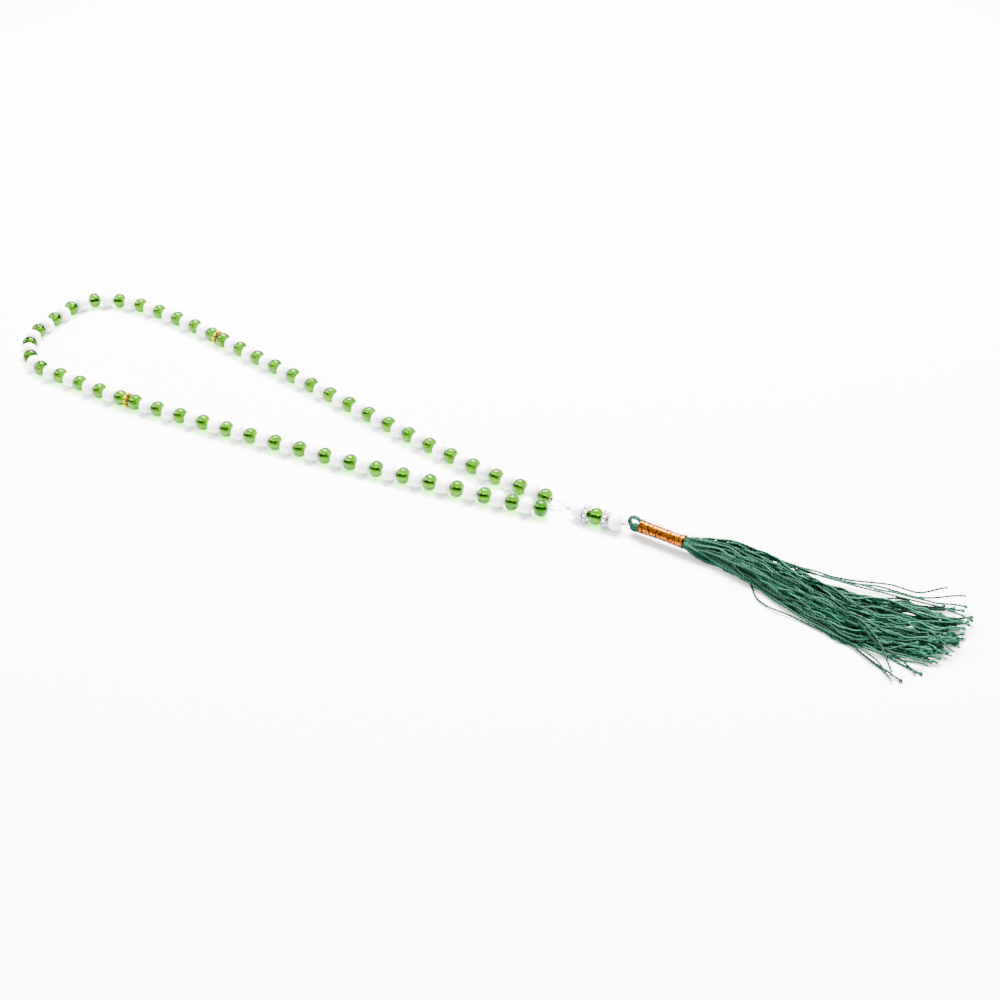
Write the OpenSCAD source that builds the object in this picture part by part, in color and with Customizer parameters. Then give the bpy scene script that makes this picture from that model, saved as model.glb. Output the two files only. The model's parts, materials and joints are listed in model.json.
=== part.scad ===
// Misbaha: three sets of 33 prayer beads on a nylon thread, two gilt spacers, a beaded
// tail with stone-set rondelles, and a long tassel with a foil-wound neck.
// It lies flat: z = 0 is the surface under it, and the tassel points along +X.

/* [Beads] */
// Diameter of a counting bead
bead_d = 8; // [7:0.25:10]
// Length of a counting bead along its bore, as a share of its diameter
bead_ratio = 0.825; // [0.75:0.025:0.95]
// Bore through every bead, spacer and rondelle
bore_d = 1.4; // [1.2:0.05:1.8]
// Thickness of the nylon thread
thread_d = 0.5; // [0.3:0.05:0.55]
// Gap between neighbouring beads
bead_gap = 0.1; // [0.05:0.05:0.2]
// Gap where the string is free to bend
bend_gap = 0.3; // [0.25:0.05:0.5]
// Length of bare thread from the knot to the middle of the first bead
front_bare = 12; // [11:0.5:16]

/* [Gilt spacers] */
// Thickness of a spacer at its balls
spacer_t = 2; // [1.6:0.1:2.6]
// Number of balls round a spacer
spacer_balls = 10; // [8:1:12]

/* [Tail] */
// Diameter of the small white bead next to the knot
small_bead_d = 6.4; // [5.5:0.1:7.5]
// Thickness of a rondelle
rondelle_t = 2.4; // [2:0.1:3.2]
// Number of stones round a rondelle
rondelle_stones = 10; // [8:1:12]
// Diameter of the knot where the two strands meet
knot_d = 2.4; // [2:0.1:3]

/* [Tassel] */
// Length of the foil-wound neck
neck_l = 21.8; // [16:0.2:30]
// Diameter of the neck at its waist
neck_d = 5.5; // [5:0.1:6]
// Length of the strings below the neck
skirt_l = 123; // [90:1:150]
// Thickness of the cord that forms the hanging eye
eye_cord_d = 1.8; // [1.4:0.1:1.9]

/* [Hidden] */
$fn = 48;
SET_BEADS = 33;
SPACER_AT = [33, 67];
STATION_COUNT = 3 * SET_BEADS + len(SPACER_AT);
bead_l = bead_d * bead_ratio;
axis_z = bead_d / 2;
thread_r = thread_d / 2;
touch = 0.05;

// The strand from the knot, round the loop and back: [steps between beads, degrees per step]
STRAND_RUNS = [
    [1, -9], [10, -0.1], [11, -0.2], [10, -0.2], [2, 0],
    [4, -1.8], [3, 2], [2, -13], [3, -10], [3, -11], [3, 0],
    [3, -23], [3, -8], [3, -1.5], [5, -1.3], [2, 0],
    [22, 0], [9, 0.7], [1, 4]
];
TURNS = [for (run = STRAND_RUNS) for (k = [1:run[0]]) run[1]];
// How far the thread runs straight out from the middle of an end bead
bare_out = bead_l / 2 + 4;
// The loop is open here, between the back strand's thread and the knot
open_pivot = 0.3;
// Direction from the knot to the first bead, and the heading of that bead's bore
FRONT_BEARING = 206;
FRONT_HEADING = -165.5;

// Stations on the thread that ride together, and the names of those spans
SPANS = [
    ["first_set_a", 0, 10], ["first_set_b", 11, 21], ["first_set_c", 22, 33],
    ["second_set_a", 34, 44], ["second_set_b", 45, 55], ["second_set_c", 56, 66],
    ["third_set_a", 67, 78], ["third_set_b", 79, 89], ["third_set_c", 90, 100]
];
LAST = STATION_COUNT - 1;
BENDS_AFTER = [for (span = SPANS) span[2]];

function is_spacer(i) = len(search(i, SPACER_AT)) > 0;
// Beads alternate in each set, which begins and ends with green
function is_green(i) = !is_spacer(i) && (i % (SET_BEADS + 1)) % 2 == 0;
function is_end_bead(i) = i == 0 || i == LAST;
function gap_after(i) = len(search(i, BENDS_AFTER)) > 0 ? bend_gap : bead_gap;
// From a station's middle to the plane that touches it when its bore leans by that angle
function reach(i, lean) = is_spacer(i)
    ? spacer_t / 2 * cos(lean) + bead_d / 2 * sin(abs(lean))
    : bead_l / 2 + (bead_d - bead_l) / 2 * sin(abs(lean));
function next_pose(i, p) =
    let(lean = TURNS[i] / 2,
        step = reach(i, lean) + reach(i + 1, lean) + gap_after(i),
        way = p[2] + lean)
    [p[0] + step * cos(way), p[1] + step * sin(way), p[2] + TURNS[i]];
function walk(i, p) = i == LAST ? [p] : concat([p], walk(i + 1, next_pose(i, p)));
// Each station is [x, y, heading of its bore], with the knot at the origin
STRAND = walk(0, [front_bare * cos(FRONT_BEARING), front_bare * sin(FRONT_BEARING), FRONT_HEADING]);
// Along a station's bore to the thread's bend ahead of it and behind it
function ahead(i) = (reach(i, TURNS[i] / 2) + gap_after(i) / 2) / cos(TURNS[i] / 2);
function behind(i) = (reach(i, TURNS[i - 1] / 2) + gap_after(i - 1) / 2) / cos(TURNS[i - 1] / 2);

// Tail, as distances from the knot along its thread
TAIL_HEADING = 1.5;
small_l = small_bead_d * 0.9;
knot_r = knot_d / 2;
small_x = knot_r + 0.6 + small_l / 2;
rondelle_1_x = small_x + small_l / 2 + bead_gap + rondelle_t / 2;
green_x = rondelle_1_x + rondelle_t / 2 + bead_gap + bead_l / 2;
rondelle_2_x = green_x + bead_l / 2 + bead_gap + rondelle_t / 2;
large_x = rondelle_2_x + rondelle_t / 2 + bead_gap + bead_l / 2;
end_knot_r = 0.6;
end_knot_x = large_x + bead_l / 2 + bead_gap + end_knot_r;
rondelle_r = bead_d / 2 - 0.1;
flange_t = 0.35;

// Thread link between the tail and the tassel's eye
LINK_HEADING = 30;
LINK_RISE = 25;
eye_r = 3.1;
eye_bar_r = eye_cord_d / 2;
link_r = eye_bar_r + thread_r + 0.35;
link_x = end_knot_r + touch + thread_r + link_r;
eye_bar_x = link_x + 0.25;
END_KNOT = end_knot_x * [cos(TAIL_HEADING), sin(TAIL_HEADING)];
EYE_BAR = END_KNOT + eye_bar_x * cos(LINK_RISE) * [cos(LINK_HEADING), sin(LINK_HEADING)];
bar_z = axis_z + eye_bar_x * sin(LINK_RISE);

// Tassel, as distances from the eye's bar
TASSEL_HEADING = -5;
// The bulk of the strings lifts the neck clear of the surface
neck_lift = 2;
eye_z = eye_r + eye_bar_r + 0.1 + neck_lift;
// How far the eye's cord leans in from its outermost point at the height of the link
eye_lean = eye_r - sqrt(pow(eye_r, 2) - pow(eye_z - bar_z, 2));
neck_x = 5.2;
neck_r = neck_d / 2;
neck_flare = 0.35;
neck_z = neck_r + neck_flare + neck_lift;
foil_t = 0.4;
core_r = neck_r - foil_t - touch;
neck_end_x = neck_x + neck_l;
NECK_END = EYE_BAR + neck_end_x * [cos(TASSEL_HEADING), sin(TASSEL_HEADING)];

// Skirt slices from the neck: [share of the length, sideways, width, height]
SKIRT = [
    [0.016, 0, 4.6, 7.4], [0.14, 3, 12, 9.2], [0.27, 0.5, 18, 9.6], [0.37, -3, 23, 9.6],
    [0.61, -9, 32, 8.2], [0.76, -6.5, 36, 7], [0.86, -4.5, 35, 6.2], [0.95, -2, 30, 5], [1, 2, 14, 3]
];
NEAR_LOCK = [[0.4, -14, 8, 4.5], [0.86, -36, 14, 3]];
FAR_LOCK = [[0.66, 7, 8, 6], [0.86, 24, 7, 4]];
slice_t = 0.5;

// Middle of the whole part, so that its origin is under its middle
function side(i, turn) = bead_l / 2 + (bead_d - bead_l) / 2 * abs(sin(STRAND[i][2] + turn));
SKIRT_SLICES = concat(SKIRT, NEAR_LOCK, FAR_LOCK);
X_LOW = min([for (i = [0:LAST]) STRAND[i][0] - side(i, 0)]);
X_HIGH = NECK_END[0] + skirt_l;
Y_LOW = min(concat([for (i = [0:LAST]) STRAND[i][1] - side(i, 90)],
    [for (s = SKIRT_SLICES) NECK_END[1] + s[1] - s[2] / 2]));
Y_HIGH = max(concat([for (i = [0:LAST]) STRAND[i][1] + side(i, 90)],
    [for (s = SKIRT_SLICES) NECK_END[1] + s[1] + s[2] / 2]));
KNOT = [-(X_LOW + X_HIGH) / 2, -(Y_LOW + Y_HIGH) / 2];

GREEN_GLASS = [0.45, 0.8, 0.3, 0.8];
MILK_GLASS = [0.96, 0.97, 0.95];
CLEAR_NYLON = [0.85, 0.87, 0.85, 0.6];
GILT = [0.9, 0.7, 0.3];
SILVER = [0.75, 0.76, 0.78];
CRYSTAL = [0.92, 0.94, 0.96, 0.7];
COPPER_FOIL = [0.83, 0.5, 0.18];
TASSEL_GREEN = [0.1, 0.42, 0.3];

// ---- shapes ----

// A rounded barrel about X: its side is an arc as long as the bead, swung about the bore
module bead(d, l) {
    rotate([0, 90, 0])
        rotate_extrude()
            difference() {
                union() {
                    translate([(d - l) / 2, 0]) circle(r = l / 2);
                    translate([0, -l / 2]) square([(d - l) / 2, l]);
                }
                translate([-d, -l]) square([d + bore_d / 2, 2 * l]);
            }
}

module rod(length, r) {
    rotate([0, 90, 0]) cylinder(h = length, r = r, $fn = 24);
}

module on_part() {
    translate([KNOT[0], KNOT[1], 0]) children();
}

module at_station(i) {
    on_part()
        translate([STRAND[i][0], STRAND[i][1], axis_z])
            rotate([0, 0, STRAND[i][2]]) children();
}

module on_tail(x) {
    on_part()
        rotate([0, 0, TAIL_HEADING]) translate([x, 0, axis_z]) children();
}

module on_tassel() {
    on_part()
        translate([EYE_BAR[0], EYE_BAR[1], 0])
            rotate([0, 0, TASSEL_HEADING]) children();
}

// ---- the loop ----

module span_beads(span, green) {
    color(green ? GREEN_GLASS : MILK_GLASS)
        for (i = [span[1]:span[2]])
            if (!is_spacer(i) && !is_end_bead(i) && is_green(i) == green)
                at_station(i) bead(bead_d, bead_l);
}

// A route is a list of [x, y, heading]. The thread turns at a knee between two beads
function along(i, d) = [STRAND[i][0] + d * cos(STRAND[i][2]), STRAND[i][1] + d * sin(STRAND[i][2])];
function place(p, heading) = [p[0], p[1], heading];
function knee(i) = place(along(i, ahead(i)), STRAND[i][2] + TURNS[i] / 2);
// Bare thread from an end bead to the knot: its bend, and its end at that distance from the knot
function bare_route(i, way, stop) =
    let(bend = along(i, way * bare_out),
        to_knot = atan2(-way * bend[1], -way * bend[0]),
        turn = (to_knot - STRAND[i][2] + 540) % 360 - 180)
    [place(stop * bend / norm(bend), to_knot), place(bend, STRAND[i][2] + turn / 2)];
function span_route(span) =
    let(first = span[1],
        last = span[2],
        near = bare_route(0, -1, knot_r + touch),
        far = bare_route(LAST, 1, knot_r + open_pivot))
    concat(
        first == 0 ? near : [place(along(first, touch - behind(first)), STRAND[first][2])],
        [for (i = [first:last - 1]) knee(i)],
        last == LAST ? [far[1], far[0]] : [place(along(last, ahead(last) - touch), STRAND[last][2])]
    );

// A closed tube of eight sides along a route
module tube(route, r) {
    sides = 8;
    count = len(route);
    points = [for (p = route) for (k = [0:sides - 1])
        let(across = r * cos(k * 360 / sides))
        [p[0] - across * sin(p[2]), p[1] + across * cos(p[2]), r * sin(k * 360 / sides)]];
    walls = [for (n = [0:count - 2]) for (k = [0:sides - 1])
        [n * sides + k, n * sides + (k + 1) % sides,
         (n + 1) * sides + (k + 1) % sides, (n + 1) * sides + k]];
    near_end = [for (k = [0:sides - 1]) sides - 1 - k];
    far_end = [for (k = [0:sides - 1]) (count - 1) * sides + k];
    polyhedron(points, concat([near_end], walls, [far_end]));
}

module span_thread(span) {
    color(CLEAR_NYLON)
        on_part() translate([0, 0, axis_z]) tube(span_route(span), thread_r);
}

module end_bead(i) {
    color(GREEN_GLASS) at_station(i) bead(bead_d, bead_l);
}

// A gilt disc with a ring of balls round its edge
module gilt_spacer(i) {
    ball_r = spacer_t / 2;
    disc_t = spacer_t * 0.6;
    color(GILT)
        at_station(i)
            difference() {
                union() {
                    translate([-disc_t / 2, 0, 0]) rod(disc_t, bead_d / 2 - ball_r);
                    for (k = [0:spacer_balls - 1])
                        rotate([k * 360 / spacer_balls, 0, 0])
                            translate([0, 0, bead_d / 2 - ball_r]) sphere(r = ball_r);
                }
                translate([-bead_d, 0, 0]) rod(2 * bead_d, bore_d / 2);
            }
}

module strand_knot() {
    coil_r = knot_r / 3;
    color(CLEAR_NYLON)
        on_part()
            translate([0, 0, axis_z]) {
                sphere(r = knot_r * 0.85);
                rotate([25, 90, 0])
                    rotate_extrude() translate([knot_r - coil_r, 0]) circle(r = coil_r);
            }
}

// ---- the tail ----

// Both ends of the strand pass through the tail side by side, to a small end knot
module tail_thread() {
    start = knot_r + touch;
    color(CLEAR_NYLON) {
        for (side_y = [-1, 1])
            on_tail(start) translate([0, side_y * (thread_r + 0.02), 0])
                rod(end_knot_x - start, thread_r);
        on_tail(end_knot_x) sphere(r = end_knot_r);
    }
}

module tail_bead(x, d, l, tint) {
    color(tint) on_tail(x) bead(d, l);
}

// Two flanges on a hub, held apart by a bar between each pair of stones
module rondelle_ring(x) {
    hub_r = 1.9;
    bar_r = 0.3;
    color(SILVER)
        on_tail(x)
            difference() {
                union() {
                    translate([-rondelle_t / 2, 0, 0]) rod(rondelle_t, hub_r);
                    for (end = [-1, 1])
                        translate([end * (rondelle_t - flange_t) / 2 - flange_t / 2, 0, 0])
                            rod(flange_t, rondelle_r);
                    for (k = [0:rondelle_stones - 1])
                        rotate([(k + 0.5) * 360 / rondelle_stones, 0, 0])
                            translate([-rondelle_t / 2, 0, rondelle_r - bar_r - 0.1])
                                rod(rondelle_t, bar_r);
                }
                translate([-bead_d, 0, 0]) rod(2 * bead_d, bore_d / 2);
            }
}

// Square-cut stones: a crown over a pavilion, pointing out from the hub
module rondelle_stones(x) {
    pavilion_r = 2.05;
    girdle_r = 2.7;
    crown_r = rondelle_r - 0.05;
    pitch = 2 * PI * girdle_r / rondelle_stones;
    girdle_w = min(rondelle_t - 2 * flange_t - 0.1, pitch - 0.15);
    color(CRYSTAL)
        on_tail(x)
            for (k = [0:rondelle_stones - 1])
                rotate([k * 360 / rondelle_stones, 0, 0]) {
                    translate([0, 0, pavilion_r])
                        stone_step(girdle_r - pavilion_r, girdle_w * 0.4, girdle_w);
                    translate([0, 0, girdle_r])
                        stone_step(crown_r - girdle_r, girdle_w, girdle_w * 0.6);
                }
}

module stone_step(height, low_w, high_w) {
    rotate([0, 0, 45])
        cylinder(h = height, r1 = low_w / sqrt(2), r2 = high_w / sqrt(2), $fn = 4);
}

// The thread's end loop, which holds the tassel by its eye
module thread_link() {
    color(CLEAR_NYLON)
        on_part()
            translate([END_KNOT[0], END_KNOT[1], axis_z])
                rotate([0, -LINK_RISE, LINK_HEADING])
                    translate([link_x, 0, 0])
                        rotate_extrude($fn = 48) translate([link_r, 0]) circle(r = thread_r);
}

// ---- the tassel ----

module tassel_eye() {
    color(TASSEL_GREEN)
        on_tassel()
            intersection() {
                translate([eye_r - eye_lean, 0, eye_z])
                    rotate([90, 0, 0])
                        rotate_extrude() translate([eye_r, 0]) circle(r = eye_bar_r);
                translate([neck_x - touch - 20, -10, 0]) cube([20, 20, 20]);
            }
}

module tassel_neck_core() {
    color(TASSEL_GREEN)
        on_tassel()
            translate([neck_x, 0, neck_z]) rod(neck_l, core_r);
}

// Metallic foil wound over the neck, flared at both ends
module tassel_neck_foil() {
    inner = core_r + touch;
    outer = [for (s = [0:0.125:1]) [neck_r + neck_flare * pow(2 * s - 1, 2), s * neck_l]];
    color(COPPER_FOIL)
        on_tassel()
            translate([neck_x, 0, neck_z])
                rotate([0, 90, 0])
                    rotate_extrude()
                        polygon(concat([[inner, 0]], outer, [[inner, neck_l]]));
}

// Half an oval standing across the strings
module skirt_slice(s) {
    translate([s[0] * skirt_l - slice_t, s[1], 0])
        rotate([90, 0, 90])
            linear_extrude(slice_t)
                polygon([for (a = [0:15:180]) [s[2] / 2 * cos(a), s[3] * sin(a)]]);
}

module lock(slices) {
    for (k = [0:len(slices) - 2])
        hull() {
            skirt_slice(slices[k]);
            skirt_slice(slices[k + 1]);
        }
}

module tassel_skirt() {
    color(TASSEL_GREEN)
        on_part()
            translate([NECK_END[0], NECK_END[1], 0]) {
                lock(SKIRT);
                lock(NEAR_LOCK);
                lock(FAR_LOCK);
            }
}

for (span = SPANS) {
    span_beads(span, true);
    span_beads(span, false);
    span_thread(span);
}
end_bead(0);  // front_end_bead
end_bead(LAST);  // back_end_bead
gilt_spacer(SPACER_AT[0]);  // front_gilt_spacer
gilt_spacer(SPACER_AT[1]);  // back_gilt_spacer
strand_knot();
tail_thread();
tail_bead(small_x, small_bead_d, small_l, MILK_GLASS);  // tail_small_white_bead
rondelle_ring(rondelle_1_x);  // tail_rondelle_1_ring
rondelle_stones(rondelle_1_x);  // tail_rondelle_1_stones
tail_bead(green_x, bead_d, bead_l, GREEN_GLASS);  // tail_green_bead
rondelle_ring(rondelle_2_x);  // tail_rondelle_2_ring
rondelle_stones(rondelle_2_x);  // tail_rondelle_2_stones
tail_bead(large_x, bead_d, bead_l, MILK_GLASS);  // tail_large_white_bead
thread_link();
tassel_eye();
tassel_neck_core();
tassel_neck_foil();
tassel_skirt();
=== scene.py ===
import json
import math

import bpy
import numpy as np
from mathutils import Matrix, Vector


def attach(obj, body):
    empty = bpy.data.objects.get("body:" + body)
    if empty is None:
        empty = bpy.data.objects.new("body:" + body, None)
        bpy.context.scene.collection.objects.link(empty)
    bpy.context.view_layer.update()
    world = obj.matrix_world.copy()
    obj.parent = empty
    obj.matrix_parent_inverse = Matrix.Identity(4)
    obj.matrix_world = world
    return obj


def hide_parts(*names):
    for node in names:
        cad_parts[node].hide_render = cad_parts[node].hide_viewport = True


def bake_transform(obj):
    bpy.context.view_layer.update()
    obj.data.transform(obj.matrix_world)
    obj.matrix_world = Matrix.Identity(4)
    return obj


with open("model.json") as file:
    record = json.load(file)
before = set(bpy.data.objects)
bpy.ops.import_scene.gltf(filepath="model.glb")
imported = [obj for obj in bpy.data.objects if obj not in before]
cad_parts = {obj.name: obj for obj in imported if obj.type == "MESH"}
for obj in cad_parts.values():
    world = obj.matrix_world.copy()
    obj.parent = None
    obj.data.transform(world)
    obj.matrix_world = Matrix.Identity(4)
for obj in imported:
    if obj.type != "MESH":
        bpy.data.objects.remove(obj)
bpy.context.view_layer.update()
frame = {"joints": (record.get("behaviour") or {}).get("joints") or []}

# ---------------------------------------------------------------------------------------------
# The room. A pale paper sweep lies under the string and runs far past it. One wide soft box hangs
# above and behind, and a second fills from the left. The sky lights little, but it looks bright to the
# camera and through clear glass, as white walls round a table do.

MM = 0.001
CAMERA_AT = (0.2829, -0.4900, 0.396)
CAMERA_HEADING = math.radians(117.2)
CAMERA_DOWN = math.radians(36.5)
CAMERA_LENS = 53.2

camera = bpy.data.objects.new("camera", bpy.data.cameras.new("camera"))
camera.data.lens = CAMERA_LENS
camera.data.clip_start = 0.01
camera.location = CAMERA_AT
looks_along = Vector((
    math.cos(CAMERA_DOWN) * math.cos(CAMERA_HEADING),
    math.cos(CAMERA_DOWN) * math.sin(CAMERA_HEADING),
    -math.sin(CAMERA_DOWN),
))
camera.rotation_euler = looks_along.to_track_quat("-Z", "Y").to_euler()
bpy.context.scene.collection.objects.link(camera)
bpy.context.scene.camera = camera


def nodes_of(material):
    """A new material's tree, its Principled shader and its output."""
    material.use_nodes = True
    tree = material.node_tree
    return tree, tree.nodes["Principled BSDF"], tree.nodes["Material Output"]


def add(tree, kind, settings=None, **inputs):
    """Adds a node, with its settings and the values or sockets of its inputs."""
    made = tree.nodes.new(kind)
    for name, value in (settings or {}).items():
        setattr(made, name, value)
    for name, value in inputs.items():
        wire(tree, value, socket(made.inputs, name))
    return made


def socket(sockets, name):
    """A socket by its name with underscores for spaces, or by its place as i0, i1 and so on."""
    if name[0] == "i" and name[1:].isdigit():
        return sockets[int(name[1:])]
    return next(s for s in sockets if s.enabled and s.name == name.replace("_", " "))


def wire(tree, value, target):
    """Links a socket to a target, or sets the target to a plain value."""
    if isinstance(value, bpy.types.NodeSocket):
        tree.links.new(value, target)
    elif value is not None:
        target.default_value = value


def maths(tree, operation, *values):
    """What one sum gives on these numbers or sockets."""
    made = tree.nodes.new("ShaderNodeMath")
    made.operation = operation
    for n, value in enumerate(values):
        wire(tree, value, made.inputs[n])
    return made.outputs[0]


def softbox(name, at, aim, size, power, tint):
    """An oblong lamp at a place, turned to face its aim."""
    lamp = bpy.data.objects.new(name, bpy.data.lights.new(name, "AREA"))
    lamp.data.shape = "RECTANGLE"
    lamp.data.size, lamp.data.size_y = size
    lamp.data.energy = power
    lamp.data.color = tint
    lamp.location = at
    lamp.rotation_euler = (Vector(aim) - Vector(at)).to_track_quat("-Z", "Y").to_euler()
    bpy.context.scene.collection.objects.link(lamp)


softbox("soft_box_above", (-0.15, 0.55, 1.15), (0, 0, 0), (1.0, 0.6), 235, (1.0, 0.995, 0.985))
softbox("soft_box_left", (-1.3, -0.5, 0.8), (-0.05, 0, 0), (0.9, 0.7), 42, (0.97, 0.985, 1.0))

SKY_AS_WALLS = 5.0
sky = bpy.data.worlds.new("white_room")
bpy.context.scene.world = sky
sky.use_nodes = True
sky_tree = sky.node_tree
up = add(sky_tree, "ShaderNodeSeparateXYZ",
         i0=add(sky_tree, "ShaderNodeTexCoord").outputs["Generated"])
height = add(sky_tree, "ShaderNodeMapRange", Value=up.outputs["Z"], From_Min=0.02, From_Max=0.55,
             To_Min=0.25, To_Max=1.7)
sky_tree.nodes["Background"].inputs["Color"].default_value = (0.96, 0.98, 1.0, 1)
sky_path = add(sky_tree, "ShaderNodeLightPath").outputs
looked_at = maths(sky_tree, "ADD", sky_path["Is Camera Ray"], sky_path["Is Transmission Ray"])
sky_strength = maths(sky_tree, "MULTIPLY_ADD", looked_at, SKY_AS_WALLS, height.outputs["Result"])
wire(sky_tree, sky_strength, sky_tree.nodes["Background"].inputs["Strength"])

FLOOR_HALF = 3.0
floor_mesh = bpy.data.meshes.new("paper_sweep")
floor_mesh.from_pydata(
    [(-FLOOR_HALF, -FLOOR_HALF, 0), (FLOOR_HALF, -FLOOR_HALF, 0),
     (FLOOR_HALF, FLOOR_HALF, 0), (-FLOOR_HALF, FLOOR_HALF, 0)], [], [(0, 1, 2, 3)])
floor = bpy.data.objects.new("paper_sweep", floor_mesh)
floor.location.z = -0.0001
bpy.context.scene.collection.objects.link(floor)
paper = bpy.data.materials.new("white_paper")
paper_tree, paper_shader, paper_output = nodes_of(paper)
paper_shader.inputs["Base Color"].default_value = (0.93, 0.93, 0.935, 1)
paper_shader.inputs["Roughness"].default_value = 0.9
paper_shader.inputs["Specular IOR Level"].default_value = 0.1
bright_paper = add(paper_tree, "ShaderNodeBsdfDiffuse", Color=(0.95, 0.95, 0.95, 1))
seen = add(paper_tree, "ShaderNodeMixShader",
           i0=add(paper_tree, "ShaderNodeLightPath").outputs["Is Camera Ray"],
           i1=paper_shader.outputs[0], i2=bright_paper.outputs[0])
wire(paper_tree, seen.outputs[0], paper_output.inputs["Surface"])
floor.data.materials.append(paper)

# ---------------------------------------------------------------------------------------------
# The strand's lie. 99 beads and two spacers sit on one thread, in the same places as in the CAD
# part: each station is its middle and the heading of its bore, found by walking the runs of turns.

BEAD_D = 8.0
BEAD_L = 6.6
BORE_R = 0.7
THREAD_R = 0.25
AXIS_Z = BEAD_D / 2
SPACER_T = 2.0
BEAD_GAP = 0.1
BEND_GAP = 0.3
SPACER_AT = (33, 67)
LAST = 100
STRAND_RUNS = [
    (1, -9), (10, -0.1), (11, -0.2), (10, -0.2), (2, 0),
    (4, -1.8), (3, 2), (2, -13), (3, -10), (3, -11), (3, 0),
    (3, -23), (3, -8), (3, -1.5), (5, -1.3), (2, 0),
    (22, 0), (9, 0.7), (1, 4),
]
FRONT_BARE = 12.0
FRONT_BEARING = math.radians(206)
FRONT_HEADING = math.radians(-165.5)
SPANS = {
    "first_set_a": (0, 10), "first_set_b": (11, 21), "first_set_c": (22, 33),
    "second_set_a": (34, 44), "second_set_b": (45, 55), "second_set_c": (56, 66),
    "third_set_a": (67, 78), "third_set_b": (79, 89), "third_set_c": (90, LAST),
}
TURNS = [math.radians(turn) for steps, turn in STRAND_RUNS for _ in range(steps)]
BENDS_AFTER = {last for _, last in SPANS.values()}


JOINTS = {joint["name"]: joint for joint in frame["joints"]}


def pivot(joint):
    """A joint's place, in millimetres."""
    return Vector(JOINTS[joint]["pos_m"]) / MM


KNOT = pivot("tail_swing")


def reach(i, lean):
    """From a station's middle to the plane that touches it when its bore leans by that angle."""
    if i in SPACER_AT:
        return SPACER_T / 2 * math.cos(lean) + BEAD_D / 2 * math.sin(abs(lean))
    return BEAD_L / 2 + (BEAD_D - BEAD_L) / 2 * math.sin(abs(lean))


def gap_after(i):
    """The gap to the next station, wider where the CAD part's bodies meet and the thread bends."""
    return BEND_GAP if i in BENDS_AFTER else BEAD_GAP


def walk_strand():
    """Every station as a point and a heading, from the knot round the loop and back."""
    x = KNOT.x + FRONT_BARE * math.cos(FRONT_BEARING)
    y = KNOT.y + FRONT_BARE * math.sin(FRONT_BEARING)
    heading = FRONT_HEADING
    found = [(x, y, heading)]
    for i, turn in enumerate(TURNS):
        lean = turn / 2
        step = reach(i, lean) + reach(i + 1, lean) + gap_after(i)
        x += step * math.cos(heading + lean)
        y += step * math.sin(heading + lean)
        heading += turn
        found.append((x, y, heading))
    return found


STRAND = walk_strand()


def on_bore(i, distance):
    """A point on a station's bore line, at that distance ahead of its middle."""
    x, y, heading = STRAND[i]
    return (x + distance * math.cos(heading), y + distance * math.sin(heading), AXIS_Z)


def is_green(i):
    """Each set of 33 beads begins and ends with green, and the colours take turns."""
    return i not in SPACER_AT and (i % 34) % 2 == 0


# ---------------------------------------------------------------------------------------------
# Counting beads, green. Pressed clear glass, 8 mm across and a little shorter along the bore,
# fire-polished, with a bored hole whose mouths are eased. Light reaches the table through them.


def node_tree(name, kinds):
    """A Geometry Nodes tree with a geometry input and the named inputs that kinds gives."""
    tree = bpy.data.node_groups.new(name, "GeometryNodeTree")
    tree.interface.new_socket("Geometry", in_out="INPUT", socket_type="NodeSocketGeometry")
    for label, kind in kinds.items():
        tree.interface.new_socket(label, in_out="INPUT", socket_type="NodeSocket" + kind)
    tree.interface.new_socket("Geometry", in_out="OUTPUT", socket_type="NodeSocketGeometry")
    return tree, tree.nodes.new("NodeGroupInput").outputs, tree.nodes.new("NodeGroupOutput")


def mesh_object(name, points, faces=(), edges=()):
    """A new object at the origin whose mesh has these points, in metres."""
    mesh = bpy.data.meshes.new(name)
    mesh.from_pydata([tuple(p) for p in points], list(edges), list(faces))
    made = bpy.data.objects.new(name, mesh)
    bpy.context.scene.collection.objects.link(made)
    return made


def grown(name, tree, base, values):
    """Runs a tree on a base object and keeps what it makes as a plain mesh object."""
    modifier = base.modifiers.new("grow", "NODES")
    modifier.node_group = tree
    for item in tree.interface.items_tree:
        if item.in_out == "INPUT" and item.name in values:
            modifier[item.identifier] = values[item.name]
    graph = bpy.context.evaluated_depsgraph_get()
    mesh = bpy.data.meshes.new_from_object(
        base.evaluated_get(graph), preserve_all_data_layers=True, depsgraph=graph)
    bpy.data.objects.remove(base)
    mesh.name = name
    made = bpy.data.objects.new(name, mesh)
    bpy.context.scene.collection.objects.link(made)
    return made


def end_tree(tree, out, geometry, finish):
    """Ends a tree: what it made turned into plain mesh, in its finish."""
    solid = add(tree, "GeometryNodeRealizeInstances", Geometry=geometry)
    finished = add(tree, "GeometryNodeSetMaterial", Geometry=solid.outputs[0], Material=finish)
    wire(tree, finished.outputs[0], out.inputs[0])


def mark(made, name, values):
    """Keeps a number for each point of a mesh, or one for all, for its tree or material to read."""
    if isinstance(values, float):
        values = [values] * len(made.data.vertices)
    kept = made.data.attributes.new(name, "FLOAT", "POINT")
    kept.data.foreach_set("value", [float(v) for v in values])


def lathe(name, profile, sides, swell=None):
    """Turns a closed profile of (along X, radius) points about the X axis, in millimetres."""
    count = len(profile)
    points = []
    for k in range(sides):
        a = 2 * math.pi * k / sides
        for x, r in profile:
            r = r * MM * (swell(r, a) if swell else 1)
            points.append((x * MM, r * math.cos(a), r * math.sin(a)))
    faces = []
    for k in range(sides):
        here, there = k * count, (k + 1) % sides * count
        for n in range(count):
            m = (n + 1) % count
            faces.append((here + n, there + n, there + m, here + m))
    made = mesh_object(name, points, faces)
    made.data.shade_smooth()
    return made


MOUTH_AT = 14


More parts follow.
